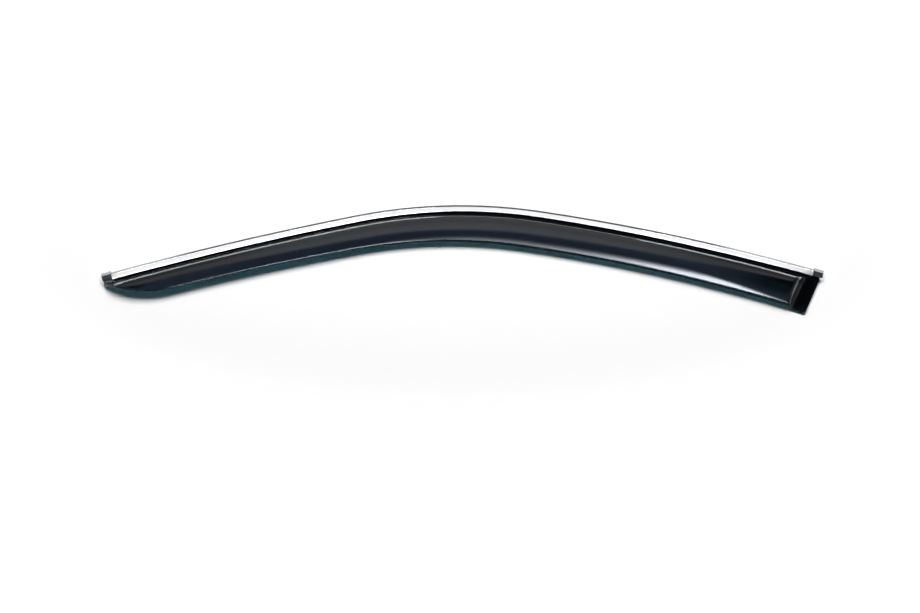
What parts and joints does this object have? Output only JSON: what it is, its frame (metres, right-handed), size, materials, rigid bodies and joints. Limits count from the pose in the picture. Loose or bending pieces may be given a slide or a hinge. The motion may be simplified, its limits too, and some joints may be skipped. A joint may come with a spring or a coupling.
{
  "type": "window rain deflector",
  "caption": "Smoked acrylic deflector for a car's side window, arched in plan, with a taped mounting flange, a crowned blade, a bright trim strip along the roof edge and plated end caps",
  "frame": {"origin": "on the mounting plane (the underside of the release film), in the middle of the edge tape's width at the crown of the roof edge", "axes": "+X along the door to the wide rear end, +Y up to the roof, +Z outwards from the door; the part lies with its outer face up"},
  "size_m": [0.9967, 0.2048, 0.0166],
  "materials": {
    "smoked_acrylic": "dark smoked, polished",
    "bright_trim": "polished stainless steel",
    "plated_cap": "bright plated plastic",
    "foam_tape": "matte closed-cell foam",
    "release_film": "thin satin film"
  },
  "bodies": {
    "root": {"deflector_panel": "smoked_acrylic", "trim_strip": "bright_trim", "front_end_cap": "plated_cap", "rear_end_cap": "plated_cap", "edge_tape": "foam_tape", "end_tape": "foam_tape", "edge_tape_liner": "release_film", "end_tape_liner": "release_film"}
  },
  "joints": []
}
